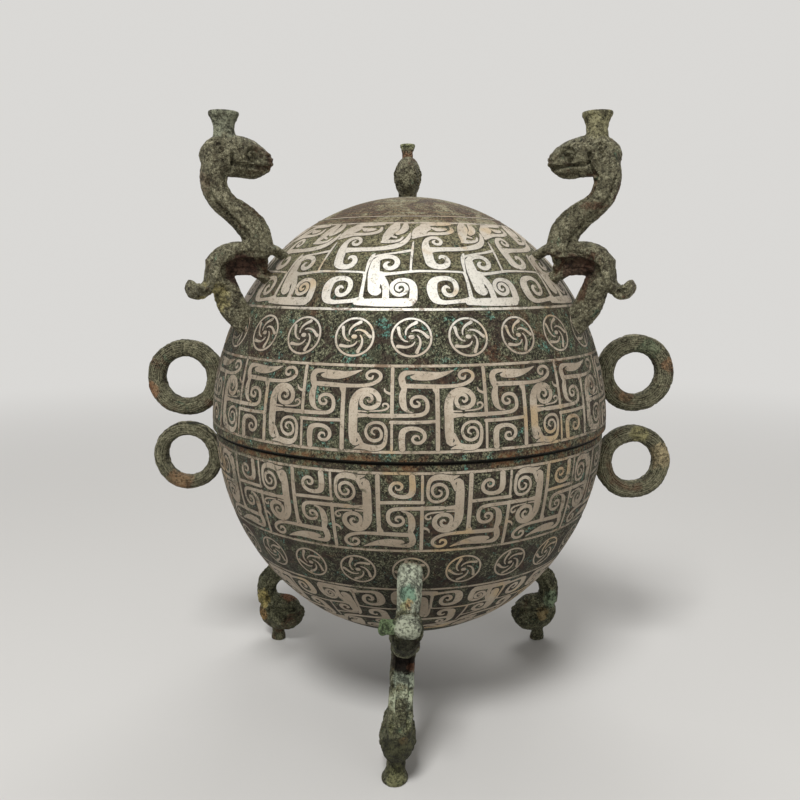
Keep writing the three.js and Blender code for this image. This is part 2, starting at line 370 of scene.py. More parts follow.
def banded(m, colour, crust, grain):
    """The globe's zones: chocolate skin and turquoise specks, a lower bowl darkened by painted shade and
    patina, olive dust and worn rings on the dome, rust at the rims and the black seam."""
    level = m.along(2)

    def by_seam(above, below):
        """1 by the seam: where it starts and is full, in mm above the lid's rim and below the bowl's."""
        over = m.band(level, *(LID.seam + d * MM for d in above))
        return over * m.band(level, *(BOWL.seam - d * MM for d in below))

    colour = m.blend(m.noise(110, 4, 0.7, 0.5), 0.5, 0.55, colour, CHOCOLATE, 0.75)
    blue = m.band(m.noise(150, 5, 0.75, 0.5), 0.58, 0.64) * m.band(crust, 0.47, 0.53)
    colour = m.mix(blue * 0.75, colour, TURQUOISE)
    # Painted shade, with some patina: the bowl darker towards its bottom
    colour = m.blend(level, BOWL.seam - 12 * MM, BOWL.seam - 60 * MM, colour, PIT_AND_SHADE, 0.45)
    crown = LID.seam + LID_WIRES["lid_crown_wire"]
    dust = m.blend(crust, 0.46, 0.55, scaled(OLIVE_DUST, 0.35), scaled(OLIVE_DUST, 1.45))
    colour = m.blend(level, crown - 46 * MM, crown + 2 * MM, colour, dust, 0.8)
    dome = m.band(level, crown - 3 * MM, crown + 1 * MM)
    worn = m.noise(62, 6, 0.8, 0.7)
    rings = m.lines(level * 900 + m.noise(30, 3, 0.6) * 1.6, 2.0)
    for pattern, low, high, tint, share in (
        (worn, 0.5, 0.45, CHOCOLATE, 0.8),
        (worn, 0.52, 0.57, DOME_CRUST, 0.75),
        (rings, 0.51, 0.57, RIM_RUST, 0.75),
        (rings, 0.46, 0.38, scaled(OLIVE_DUST, 0.3), 0.6),
    ):
        colour = m.blend(pattern, low, high, colour, tint, dome * share)
    rim = by_seam((4, 1.5), (4, 1.5))
    colour = m.blend(m.noise(70, 4, 0.7, 0.6), 0.47, 0.58, colour, RIM_RUST, rim * 0.8)
    colour = m.blend(grain, 0.52, 0.6, colour, OLIVE_DUST, rim * 0.6)
    return m.mix(by_seam((1.1, 0.6), (1, 0.5)), colour, PIT_AND_SHADE)


TARNISH = ((0.32, (0.33, 0.27, 0.2)), (0.5, (0.43, 0.36, 0.275)), (0.68, (0.55, 0.48, 0.38)))
# Painted light with less tarnish: the silver's nearly white colour in front on the upper fret
LIT_AND_CLEAN_SILVER = (0.74, 0.72, 0.65)
# Painted shade: the silver's darker colour low on the bowl and at the sides
SHADED_SILVER = (0.25, 0.2, 0.14)
GOLDEN_STAIN = (0.47, 0.33, 0.16)
SILVER_DUST = (0.19, 0.165, 0.115)
SILVER_CRUST = ((0.045, 0.04, 0.024), (0.16, 0.16, 0.1))


def worn_silver(name, wear):
    """Inlaid silver: pinkish beige, nearly white in front on the lid's upper fret with painted light and
    less tarnish, darker on the bowl and at the sides with painted shade, and crusted most at the sides."""
    m = Maker(bpy.data.materials.new(name))
    cloud = m.noise(60, 5, 0.6, 0.5)
    grain = m.noise(1300, 3, 0.75)
    colour = m.ramp(cloud, *TARNISH)
    level = m.along(2)
    across = m.along(0).math("ABSOLUTE")
    upper = LID.seam + LID_WIRES["lid_middle_wire"]
    # Painted light with less tarnish: a band of the upper fret nearly white, most in front, which faces the
    # light
    lit_and_clean = m.band(level, upper + 2 * MM, upper + 24 * MM)
    lit_and_clean *= m.band(level, upper + 62 * MM, upper + 34 * MM)
    in_front = 1 - m.band(across, 18 * MM, 64 * MM) * 0.95
    colour = m.mix(lit_and_clean * in_front * 0.9, colour, LIT_AND_CLEAN_SILVER)
    # Painted shade: the silver darker below the seam and towards the sides
    aside = m.band(across, 45 * MM, 90 * MM)
    lower = m.band(level, BOWL.seam + 1 * MM, BOWL.seam - 30 * MM)
    colour = m.mix((lower * 0.5 + aside * 0.4).math("MINIMUM", 0.75), colour, SHADED_SILVER)
    colour = m.blend(m.noise(34, 3, 0.6, 0.5), 0.57, 0.66, colour, GOLDEN_STAIN, 0.6)
    crust = m.blend(grain, 0.44, 0.6, *SILVER_CRUST)
    crust = m.blend(m.noise(90, 4, 0.7, 0.5), 0.5, 0.58, crust, RIM_RUST, 0.6)
    stain = m.noise(170, 6, 0.8, 0.7) + aside * 0.1
    colour = m.blend(stain, 0.58 - wear, 0.66 - wear, colour, crust, 0.8)
    bitten = m.noise(520, 5, 0.8, 0.4) + aside * 0.06
    colour = m.blend(bitten, 0.57, 0.63, colour, crust, 0.6)
    colour = m.blend(grain, 0.53, 0.66, colour, SILVER_DUST, 0.5)
    return m.finish(
        Base_Color=colour,
        Metallic=0.3,
        Roughness=0.45 + 0.25 * cloud,
        Specular_IOR_Level=0.35,
        Normal=m.bump(grain * 0.6 + cloud * 0.4, 0.5, 0.3 * MM),
    )


def black_cement():
    """The dark line that outlines each piece of silver."""
    m = Maker(bpy.data.materials.new("black_cement"))
    grain = m.noise(900, 4, 0.7)
    colour = m.ramp(grain, (0.4, (0.018, 0.016, 0.012)), (0.65, (0.055, 0.05, 0.036)))
    return m.finish(Base_Color=colour, Roughness=0.8, Normal=m.bump(grain, 0.4, 0.3 * MM))


# Each ring: half, side, level from the seam, distance of its centre from the axis and outer radius, in mm
RINGS = [
    (LID, "right", 23.7, 112.8, 19.4),
    (LID, "left", 21.5, 111.4, 19.1),
    (BOWL, "right", 21.4, 113.6, 18.9),
    (BOWL, "left", 18, 111.9, 17.3),
]
RING_CENTRES = [
    ((1 if side == "right" else -1) * centre * MM, 0, half.seam + half.side * level * MM)
    for half, side, level, centre, _ in RINGS
]

# Places in mm, radii in mm, colours and shares of the zones that stand out on the castings: crusts, and
# on the feet and knobs also painted light on lit faces and painted shade on faces turned down or hollowed
FOOT_CRUSTS_LIGHT_AND_SHADE = [
    # Pale on the leg: painted light on its lit top, with crust
    ((-1, -93, 86), 11, (0.41, 0.44, 0.34), 0.85),
    ((0, -83, 97), 6.5, (0.12, 0.085, 0.05), 0.8),
    # Pale on the tail: painted light on its lit top, with crust
    ((-1, -108, 75), 6.5, (0.35, 0.37, 0.28), 0.85),
    ((-2, -96, 84), 4.6, (0.1, 0.21, 0.14), 0.75),
    ((-4, -99, 80), 4.2, (0.3, 0.3, 0.14), 0.8),
    ((-1, -99.5, 80), 3.6, (0.4, 0.27, 0.13), 0.85),
    ((6.5, -101, 72), 4.5, (0.04, 0.045, 0.025), 0.8),
    ((-10, -104, 73), 5, (0.13, 0.19, 0.09), 0.8),
    # Near black under the body: painted shade on its face turned down
    ((-2, -100, 63), 6, (0.03, 0.03, 0.018), 0.85),
    # The pale zones down the neck's front: painted light on its lit face, with crust
    ((-2.6, -87, 42), 6, (0.42, 0.47, 0.36), 0.85),
    ((-3.2, -92, 36), 6.5, (0.4, 0.43, 0.3), 0.85),
    ((-2.4, -91, 38), 3, (0.16, 0.25, 0.14), 0.75),
    ((-4, -94, 33.5), 3.4, (0.4, 0.33, 0.19), 0.75),
    ((-3.6, -96, 30), 5, (0.38, 0.41, 0.28), 0.8),
    ((-4, -98, 24), 3.5, (0.3, 0.14, 0.05), 0.7),
    ((-4, -94, 27), 7, (0.2, 0.2, 0.09), 0.7),
    # Near black in the pocket: painted shade in the recess
    ((-3, -82, 48), 6, (0.018, 0.012, 0.009), 0.97),
    ((0.5, -84, 46), 2.4, (0.18, 0.08, 0.045), 0.7),
    # Dark on the head: painted shade on the foot's head under the globe
    ((-5, -98, 16), 10, (0.045, 0.045, 0.022), 0.85),
    ((-6, -96, 4), 5, (0.16, 0.16, 0.07), 0.6),
    ((83, 37, 25), 5, (0.24, 0.32, 0.2), 0.7),
    ((77, 34, 18), 4, (0.3, 0.22, 0.1), 0.6),
    ((-85, 38, 25), 6, (0.42, 0.34, 0.12), 0.75),
    ((-83, 38, 16), 4, (0.36, 0.22, 0.09), 0.7),
    ((-68, 38, 26), 5, (0.25, 0.09, 0.04), 0.6),
]
KNOB_CRUSTS_LIGHT_AND_SHADE = [
    # Pale on the head's top: painted light, with crust
    ((-80, -46, 274), 9, (0.26, 0.28, 0.2), 0.6),
    ((-92, -52, 247), 8, (0.17, 0.12, 0.08), 0.5),
    # Pale on the head's top: painted light, with crust
    ((80, -46, 273), 8, (0.3, 0.28, 0.15), 0.6),
    # Pale on the cup: painted light, with crust
    ((0, 86, 286), 6, (0.34, 0.36, 0.2), 0.8),
    ((0, 88, 277), 5, (0.22, 0.1, 0.05), 0.7),
    ((0, 86, 258), 12, (0.3, 0.26, 0.16), 0.5),
    ((-86, -50, 199), 8, (0.38, 0.33, 0.14), 0.65),
    # Dark low on the front knobs, under the body by the wall: painted shade
    ((-73, -45, 211), 8, (0.06, 0.028, 0.02), 0.9),
    ((73, -45, 211), 8, (0.06, 0.03, 0.02), 0.85),
]
RING_CRUSTS = [
    ((-116, -4, 106), 7, (0.26, 0.13, 0.06), 0.5),
    ((118, -4, 172), 6, (0.1, 0.16, 0.09), 0.35),
    ((127, -4, 119), 7, (0.4, 0.32, 0.18), 0.65),
    ((116, -4, 130), 5, (0.32, 0.29, 0.13), 0.6),
    ((129, -4, 165), 4, (0.24, 0.11, 0.05), 0.5),
    ((108, -4, 150), 4, (0.24, 0.12, 0.06), 0.5),
    ((-129, -4, 152), 5, (0.28, 0.13, 0.06), 0.5),
]

GLOBE_BRONZE = patinated_bronze(
    "globe_bronze", (0.05, 0.043, 0.028), (0.1, 0.108, 0.062), (0.3, 0.29, 0.19), 0.15, globe=True
)
# The feet get darker colours than the knobs: painted shade on the feet under the globe, painted light on
# the knobs on top
FOOT_BRONZE = patinated_bronze(
    "foot_bronze", (0.05, 0.045, 0.026), (0.13, 0.135, 0.075), (0.36, 0.34, 0.22), 0.1, FOOT_CRUSTS_LIGHT_AND_SHADE
)
KNOB_BRONZE = patinated_bronze(
    "knob_bronze", (0.095, 0.08, 0.05), (0.195, 0.185, 0.115), (0.44, 0.41, 0.28), 0.1, KNOB_CRUSTS_LIGHT_AND_SHADE
)
RING_BRONZE = patinated_bronze(
    "ring_bronze", (0.07, 0.062, 0.037), (0.145, 0.145, 0.085), (0.37, 0.34, 0.22), 0.12, RING_CRUSTS,
    turned_about=RING_CENTRES,
)
SILVER = worn_silver("worn_silver", 0.0)
WIRE_SILVER = worn_silver("wire_silver", 0.07)
CEMENT = black_cement()

# Faces that meet at a larger angle than this have a sharp edge between them
SHARP_ANGLE = math.radians(38)


def piece(name, points, faces, material, body, slot, *nodes):
    """A finished closed mesh in place, riding on its body and standing for its CAD nodes."""
    mesh = bpy.data.meshes.new(name)
    mesh.from_pydata([tuple(p) for p in points], [], faces)
    mesh.validate()
    mesh.update()
    mesh.materials.append(material)
    facing_out(mesh)
    settle(linked(name, mesh), body, slot, *nodes)


def facing_out(mesh):
    """Turns a closed mesh's faces outwards."""
    work = bmesh.new()
    work.from_mesh(mesh)
    bmesh.ops.recalc_face_normals(work, faces=work.faces)
    work.to_mesh(mesh)
    work.free()


def settle(obj, body, slot, *nodes):
    """Shades a piece and tells the frame what it rides on and stands for."""
    obj.data.shade_smooth()
    obj.data.set_sharp_from_angle(angle=SHARP_ANGLE)
    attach(obj, body)
    if nodes:
        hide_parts(*nodes)


def roughened(places, normals, seed):
    """Moves points along their normals by a crust's grain and its pits."""
    shift = Vector((seed * 3.1, seed * 1.7, seed * 2.3))
    moved = []
    for place, normal in zip(places, normals):
        at = Vector(place) / MM
        swell = noise.noise(at * 0.12 + shift) * 0.36
        grain = noise.noise(at * 0.5 + shift) * 0.22 + noise.noise(at * 1.1 - shift) * 0.14
        pit = max(0.0, noise.noise(at * 0.42 - shift) - 0.28) * 1.2
        moved.append([c + n * (swell + grain - pit) * MM for c, n in zip(place, normal)])
    return moved


def turned(half, profile, closed):
    """Points and faces of a profile of (radius, level) turned about the axis, wound outwards."""
    points, faces, rows = [], [], []
    for radius, level in profile:
        if radius < 1e-6:
            rows.append([len(points)] * TURN_STEPS)
            points.append(half.place(0, level, 0))
        else:
            rows.append(list(range(len(points), len(points) + TURN_STEPS)))
            points.extend(half.place(radius, level, turn) for turn in around(TURN_STEPS))
    pairs = list(zip(rows, rows[1:]))
    if closed:
        pairs.append((rows[-1], rows[0]))
    for low, high in pairs:
        for k in range(TURN_STEPS):
            n = (k + 1) % TURN_STEPS
            face = []
            for corner in (low[k], high[k], high[n], low[n]):
                if corner not in face:
                    face.append(corner)
            if len(face) > 2:
                faces.append(face)
    return points, faces


def arc(half, start, end, inset=0.0, steps=24):
    """Wall points from one angle to another, inset from the outer wall as a smaller ellipse."""
    found = []
    for i in range(steps + 1):
        angle = start + (end - start) * i / steps
        radius = (half.radius - inset) * math.cos(angle)
        found.append((0.0 if radius < 1e-7 else radius, (half.height - inset) * math.sin(angle)))
    return found


def inlet(half, level, width, depth):
    """The corners of a band let into the wall, from the pole side to the rim side."""
    angle = half.angle_at(level)
    rate = math.hypot(half.radius * math.sin(angle), half.height * math.cos(angle))
    spread = width / 2 / rate
    return [
        half.section(angle + spread),
        half.section(angle + spread, -depth),
        half.section(angle - spread, -depth),
        half.section(angle - spread),
    ]


def grooved_wall(half, levels):
    """The outer wall from the pole to the rim's chamfer, with its wire grooves."""
    found = []
    start = math.pi / 2
    for level in sorted(levels, reverse=True):
        corners = inlet(half, level, WIRE_WIDTH + 2 * WIRE_CLEARANCE, WIRE_DEPTH + WIRE_CLEARANCE)
        found += arc(half, start, half.angle_at(corners[0][1]), steps=12)[:-1]
        found += corners[:3]
        start = half.angle_at(corners[3][1])
    return found + arc(half, start, half.angle_at(RIM_CHAMFER), steps=3)


def lid_shell():
    profile = grooved_wall(LID, LID_WIRES.values())
    profile.append((LID_RADIUS - RIM_CHAMFER, 0.0))
    profile += arc(LID, 0, math.pi / 2, LID_WALL)
    points, faces = turned(LID, profile, False)
    piece("lid_shell", points, faces, GLOBE_BRONZE, "lid_body", "bronze_body", "lid")


def bowl_shell():
    profile = grooved_wall(BOWL, BOWL_WIRES.values())
    inside = (LID_RADIUS - LID_WALL) * math.sqrt(1 - (FLANGE_HEIGHT / (LID_HEIGHT - LID_WALL)) ** 2)
    flange = inside - FLANGE_CLEARANCE
    inner = BOWL_RADIUS - BOWL_WALL
    profile += [
        (BOWL_RADIUS - RIM_CHAMFER, 0.0),
        (flange, 0.0),
        (flange, 0.5 * MM - FLANGE_HEIGHT),
        (flange - 0.4 * MM, -FLANGE_HEIGHT),
        (inner, -FLANGE_HEIGHT),
    ]
    profile += arc(BOWL, 0, math.pi / 2, BOWL_WALL)
    points, faces = turned(BOWL, profile, False)
    piece("bowl_shell", points, faces, GLOBE_BRONZE, "bowl_body", "bronze_body", "bowl")


def border_wires():
    for half, wires in ((LID, LID_WIRES), (BOWL, BOWL_WIRES)):
        for node, level in wires.items():
            points, faces = turned(half, inlet(half, level, WIRE_WIDTH, WIRE_DEPTH), True)
            piece(f"{node}_silver", points, faces, WIRE_SILVER, half.body, "silver_inlay", node)


def smooth_path(stations, steps):
    """Catmull-Rom points through stations of any width of tuple, steps to each span."""
    data = np.array(stations, float)
    data = np.vstack([2 * data[0] - data[1], data, 2 * data[-1] - data[-2]])
    found = []
    for i in range(1, len(data) - 2):
        a, b, c, d = data[i - 1 : i + 3]
        for k in range(steps):
            t = k / steps
            square = (2 * a - 5 * b + 4 * c - d) * t**2
            cube = (3 * b - a - 3 * c + d) * t**3
            found.append(0.5 * (2 * b + (c - a) * t + square + cube))
    found.append(data[-2])
    return np.array(found)


# Strokes of silver in one panel, as (across, up, width), each in hundredths of the panel's height
# or, for across, of its width
LOWER_PANEL = [
    [(0, 97, 4.2), (0, 62, 4.2), (0, 41, 4.2)],
    [(0, 35, 3), (0, 3, 3)],
    [(66.5, 94.6, 0.8), (58, 91.4, 4.2), (48, 88.8, 7.4), (38, 87.4, 8.8), (28, 87.2, 8), (22.5, 86.8, 5.4),
     (20.5, 87, 3)],
    [(48, 91, 3), (30, 92, 3.6), (20, 92.3, 4.2), (12.8, 90.8, 6.6), (9.9, 86, 7.6), (11, 79, 8),
     (12.6, 73, 6.4), (11, 66, 8), (11.2, 58, 8.2), (13, 51.5, 6.4), (17, 47.2, 3), (22, 45.8, 1)],
    [(12, 76.8, 5), (25, 76.4, 5.4), (40, 76, 5), (55, 75.8, 4.2), (70, 76.6, 4), (80, 79.4, 4.2),
     (86.6, 84.6, 4.4), (86.8, 90.2, 4), (81.8, 93.7, 3.6), (75.3, 93, 3.4), (71.9, 89.2, 3.3),
     (73.4, 85.2, 3.2), (77.5, 84.8, 3), (79, 87.8, 2)],
    [(44, 75.6, 5), (46, 73, 8), (47.2, 68, 5.4), (47.4, 60, 5), (47.4, 3, 5)],
    [(0, 42.2, 4.6), (18, 42.4, 4.4), (30, 43.4, 4.4), (35.6, 47, 4.6), (37, 53, 4.6), (36, 59, 4.4),
     (32.6, 63.2, 4.2), (26.6, 64.2, 3.8), (21.4, 61.8, 3.6), (20, 57, 3.5), (22.8, 53.2, 3.4),
     (27.4, 53.4, 3), (28.6, 56.6, 2.4), (26, 58.8, 1.6)],
    [(-1, 34.6, 4), (23, 34.6, 3.8), (47, 35.6, 3.8)],
    [(11, 4, 7), (10.6, 9, 6.8), (10.4, 18, 7.4), (12.2, 24.6, 6.8), (18.6, 27.6, 4.8), (27, 27, 4.4),
     (32.8, 22.8, 4.4), (33.8, 16.6, 4.2), (30, 11.6, 3.8), (24.4, 11.2, 3.5), (21.4, 14.8, 3.2),
     (23.4, 18.8, 2.8), (27.4, 18.8, 2), (28.4, 15.6, 1)],
    [(59.6, 12, 8), (59.3, 22, 10.2), (59.2, 40, 10.4), (59.2, 52, 10.6), (60.6, 61, 9.4),
     (65.4, 68.2, 7.8), (73, 71.2, 6.4), (81, 69.2, 6.2), (86, 62.4, 6), (85, 55, 5.6), (79.5, 51, 5),
     (72.6, 51, 4.8), (67.9, 55, 4.6), (67.9, 61.4, 4.4), (72, 65.8, 4.2), (77.4, 64.8, 3.8),
     (79, 60.2, 3.4), (76, 57.4, 2.6), (74, 59.4, 1.4)],
    [(58.8, 14, 6), (60.4, 9.6, 5), (63.6, 9, 3.6), (66, 11.6, 3), (65.8, 15, 2.2), (63.8, 16, 1.2)],
    [(64.2, 20, 4), (67.4, 12.4, 4.4), (70, 7.4, 6), (77, 4.8, 7), (86, 4.8, 6.4), (92, 9, 4.8),
     (94, 18, 4), (93.6, 27, 3.6), (89.6, 33, 3.4), (82, 34, 3.2), (75.6, 30.6, 3.2), (73, 23.6, 3.2),
     (75.6, 16.2, 3.6), (81.8, 13, 3.8), (88, 15.4, 3.6), (89.6, 21.2, 3.2), (86.6, 27, 2.8),
     (81.2, 27, 2.6), (79.2, 22.6, 2.4), (82.4, 20, 1.6)],
    [(61, 3.4, 1), (66, 5, 4), (72, 5, 5)],
    [(62, 42, 7), (66, 42, 5.2), (73.6, 42.2, 3.6)],
    [(76.6, 42, 4), (80, 42, 4.8), (92, 42, 4.8), (100, 42.2, 4.8)],
    [(64, 46.8, 2.2), (73, 46.4, 1.4)],
    [(77, 47, 1.4), (88, 47.8, 1.9), (94, 49.6, 2.3), (96.4, 53, 2.4), (94, 56, 2.3), (90.6, 55, 1.9),
     (90.8, 52.6, 1)],
    [(100, 67, 3.4), (95.6, 68.2, 3), (92.6, 70.4, 2.4), (91.6, 73.4, 1.2)],
]
UPPER_PANEL = [
    [(54, 9, 5), (46, 7.6, 3.6), (36, 6.6, 3.4), (27, 6.2, 4), (21, 8.6, 6.2), (18.4, 14.6, 7.2),
     (18.4, 21.6, 7.6), (21.4, 26.8, 6.2), (28, 29, 4.8), (35, 28.8, 4.2), (40, 25.6, 3.8),
     (41.2, 20.4, 3.8), (39.4, 15.2, 3.4), (34.8, 12.6, 3.4), (30.4, 13.8, 3.4), (28.8, 18, 3.2),
     (31.4, 21, 2.6), (34.2, 19.6, 1.6)],
    [(50, 5.6, 4), (58, 6.2, 6), (70, 6.2, 7.2), (84, 6.2, 7.4), (95, 6.4, 7.4), (100, 8.4, 6),
     (101, 13, 5.6), (101, 20, 5.4), (98.6, 25, 4.8), (93, 27.4, 3.8), (86.6, 27, 3.4), (82, 23.6, 3.2),
     (81, 18.8, 3), (83.6, 14.6, 3), (88.6, 13, 3), (93.6, 15.4, 3), (94.6, 19.8, 3), (91.4, 23.2, 2.8),
     (87, 22.4, 2.6), (85.8, 19, 2.4), (88.2, 17, 2), (90.2, 18.6, 1.4)],
    [(97, 4, 3), (98.6, 5, 4)],
    [(62, 47, 7), (61.8, 40, 8.4), (62.4, 32, 9.2), (64, 24, 9.4), (64.4, 17.6, 8), (66.6, 14.2, 4.2),
     (70, 15.6, 2.6), (70.2, 18.4, 1.6)],
    [(66, 33, 7), (71, 28, 6.4), (75, 22, 5.2), (76, 15, 4.6), (76.4, 8, 5)],
    [(61.4, 44, 6), (63, 48.6, 5.6), (67.4, 51.4, 4.8), (74, 52.4, 4.4), (80.6, 51.4, 4.2),
     (84.6, 47.6, 4.4), (84, 42.8, 4.4), (79.6, 39.6, 4.2), (74.8, 40, 4), (72.2, 42.8, 3.4),
     (74, 45.6, 2.4), (76, 46, 1.2)],
    [(66, 33.6, 7), (74, 33.4, 3.4), (83, 34.2, 2.8), (92, 35.2, 2.6), (104, 36.4, 2.4), (120, 36.4, 2),
     (138, 36, 1.8), (150, 35.2, 2), (153, 33, 2.6), (153.6, 24, 2.4), (153.6, 12, 3)],
    [(53.8, 34, 1.4), (54.2, 42, 2.4), (55.2, 48, 3.2), (57.2, 53, 3.4), (58.8, 55.6, 1.6)],
    [(56.6, 51.4, 2), (62, 53.4, 2), (72, 55.4, 2), (84, 57, 2.2), (94, 58.8, 2.8), (100, 60, 2.4)],
    [(98.6, 36, 1.8), (99.2, 46, 1.8), (100.4, 57, 2.2), (101.6, 66, 2), (102.4, 71, 1)],
    [(19, 45, 7), (18, 54, 8.4), (16.6, 62, 7.8), (16.8, 69, 5.8), (20.4, 74.2, 4.4), (26.8, 76.4, 3.8),
     (33, 75.4, 3.6), (36.2, 71.6, 3.4), (34, 67.8, 3.2), (28.8, 67.8, 3), (26.2, 70.6, 2.6),
     (28.6, 72.6, 1.6)],
    [(18.4, 50, 8), (20, 45, 8), (24.4, 41.8, 6.2), (30.8, 41, 5.2), (36.4, 43.4, 5), (38.2, 48, 4.6),
     (35.8, 51.8, 4), (31.6, 52.4, 3.2), (29.8, 50.2, 1.6)],
    [(19, 60, 8), (28, 60.8, 5.4), (42, 61.2, 4.8), (56, 61.6, 4.6), (70, 63, 5.2), (82, 65.6, 5.8),
     (91, 70.2, 5.2), (96.4, 76.6, 4.2), (98.8, 82.6, 2)],
    [(1.6, 76, 2.6), (9, 79, 4.6), (22, 81.8, 4.6), (38, 82, 3.8), (50, 83.4, 4), (57, 86.6, 4.6),
     (58, 91, 3.4)],
    [(4, 80, 6), (8, 86, 9), (15, 89, 12), (22, 91, 10)],
    [(16, 95, 5), (30, 96.4, 4), (48, 96.8, 4), (60, 97.4, 3)],
    [(49, 89, 3), (42, 88.4, 5), (35, 88.6, 5.4), (30, 90.6, 3)],
    [(63.6, 70.6, 2.6), (70, 71.2, 4.4), (79, 71.4, 3.4), (86, 73.4, 2.8), (89, 77, 2)],
    [(66, 72, 5), (68.6, 79, 9), (72.6, 86, 11), (77, 92, 12), (79, 97, 8)],
    [(80.6, 76.6, 2.4), (76, 78, 3)],
    [(82, 82.4, 5), (88, 86, 7), (91.6, 91, 8), (92, 96, 6)],
]
CROWN_RING = [[(0, 112, 0.9), (50, 112, 0.9), (100, 112, 0.9)]]
STROKE_STEPS = 5
STRAIGHT_STEPS = 12
# A stroke's round end: how far on, and how wide, as shares of its width
STROKE_END = [(0.3, 0.8), (0.5, 0.12)]
SILVER_PROUD = 0.1 * MM
SILVER_SUNK = 0.25 * MM
STROKE_LIFT = 0.003 * MM
CEMENT_LIFT = 0.03 * MM
CEMENT_EDGE = 0.32 * MM


def whorl(wide_to_tall):
    """A ring round five curling hooks and a centre boss, as strokes in a panel of the given shape."""
    def at(radius, turn, width):
        return (50 + radius * math.cos(turn) / wide_to_tall, 50 + radius * math.sin(turn), width)

    rim, hooks = 42, 5
    strokes = []
    for half_turn in (0, 1):
        strokes.append([at(rim, math.pi * (half_turn + i / 10), 4.4) for i in range(11)])
    shares = [i / 6 for i in range(7)]
    for start in around(hooks):
        strokes.append([at(rim - 7 - 22 * s, start + 1.5 * s**1.5, 7.6 - 5 * s) for s in shares])
    strokes.append([at(2, 0, 9), at(2, math.pi, 9)])
    return strokes


def stroke_sections(stroke, wide, tall):
    """Centre, direction and width of a stroke at each step, in metres on the panel, with round ends."""
    if len(stroke) > 2:
        path = smooth_path(stroke, STROKE_STEPS)
    else:
        ends = np.array(stroke, float)
        steps = range(STRAIGHT_STEPS + 1)
        path = np.array([ends[0] + (ends[1] - ends[0]) * i / STRAIGHT_STEPS for i in steps])
    places = path[:, :2] * np.array([wide, tall]) / 100
    widths = path[:, 2] * tall / 100
    rows = list(zip(places, directions(places), widths))
    (first, way, width), (last, end_way, end_width) = rows[0], rows[-1]
    start = [(first - way * width * s, way, width * w) for s, w in STROKE_END[::-1]]
    end = [(last + end_way * end_width * s, end_way, end_width * w) for s, w in STROKE_END]
    return start + rows + end


def band_frame(half, low, high, count):
    """Angles, height along the wall and panel width of a band between two levels."""
    start, end = half.angle_at(low), half.angle_at(high)
    stops = [half.section(start + (end - start) * i / 20) for i in range(21)]
    tall = sum(math.dist(a, b) for a, b in zip(stops, stops[1:]))
    step = 2 * math.pi / count
    return start, end, tall, half.section((start + end) / 2)[0] * step, step


def silver_panel(half, strokes, low, high, count, section):
    """Points and faces of one panel's strokes, laid on the wall between two levels.

    section gives a stroke's cross-section from its number: shares of half its width, added width and lift.
    """
    start, end, tall, wide, step = band_frame(half, low, high, count)
    points, faces = [], []
    for number, stroke in enumerate(strokes):
        first = len(points)
        rows = stroke_sections(stroke, wide, tall)
        outline = section(number)
        for centre, way, width in rows:
            side = np.array([-way[1], way[0]])
            for share, added, raised in outline:
                across, up = centre + side * (share * width / 2 + added)
                radius, level = half.section(start + (end - start) * up / tall, raised)
                points.append(half.place(radius, level, across / wide * step))
        corners = len(outline)
        for i in range(len(rows) - 1):
            for k in range(corners - 1):
                a = first + i * corners + k
                faces.append([a, a + 1, a + corners + 1, a + corners])
    return points, faces


def silver_section(number):
    lift = SILVER_PROUD + STROKE_LIFT * number
    return [(1, 0, -SILVER_SUNK), (1, 0, lift), (-1, 0, lift), (-1, 0, -SILVER_SUNK)]


def cement_section(number):
    return [
        (1, CEMENT_EDGE, -SILVER_SUNK), (1, CEMENT_EDGE * 0.8, CEMENT_LIFT),
        (-1, -CEMENT_EDGE * 0.8, CEMENT_LIFT), (-1, -CEMENT_EDGE, -SILVER_SUNK),
    ]


def repeater():
    """A node tree that turns copies of a panel round the globe's axis."""
    tree = bpy.data.node_groups.new("turned_copies", "GeometryNodeTree")
    inputs = {"Panel": "Geometry", "Copies": "Int", "Start": "Float", "Finish": "Material"}
    for name, kind in inputs.items():
        tree.interface.new_socket(name, in_out="INPUT", socket_type=f"NodeSocket{kind}")
    tree.interface.new_socket("Band", in_out="OUTPUT", socket_type="NodeSocketGeometry")

    def add(kind, operation=None, **sources):
        """A new node, each named input linked to an output or set to a number."""
        node = tree.nodes.new(kind)
        if operation:
            node.operation = operation
        for key, source in sources.items():
            inlet = node.inputs[int(key[1:]) if key[0] == "_" else key]
            if isinstance(source, float):
                inlet.default_value = source
            else:
                tree.links.new(source, inlet)
        return node.outputs

    panel, copies, start, finish, _ = add("NodeGroupInput")
    points = add("GeometryNodePoints", Count=copies)[0]
    share = add("ShaderNodeMath", "DIVIDE", _0=add("GeometryNodeInputIndex")[0], _1=copies)[0]
    turn = add("ShaderNodeMath", "MULTIPLY_ADD", _0=share, _1=2 * math.pi, _2=start)[0]
    rotation = add("ShaderNodeCombineXYZ", Z=turn)[0]
    placed = add("GeometryNodeInstanceOnPoints", Points=points, Instance=panel, Rotation=rotation)[0]
    real = add("GeometryNodeRealizeInstances", Geometry=placed)[0]
    add("NodeGroupOutput", Band=add("GeometryNodeSetMaterial", Geometry=real, Material=finish)[0])
    return tree


REPEATER = repeater()


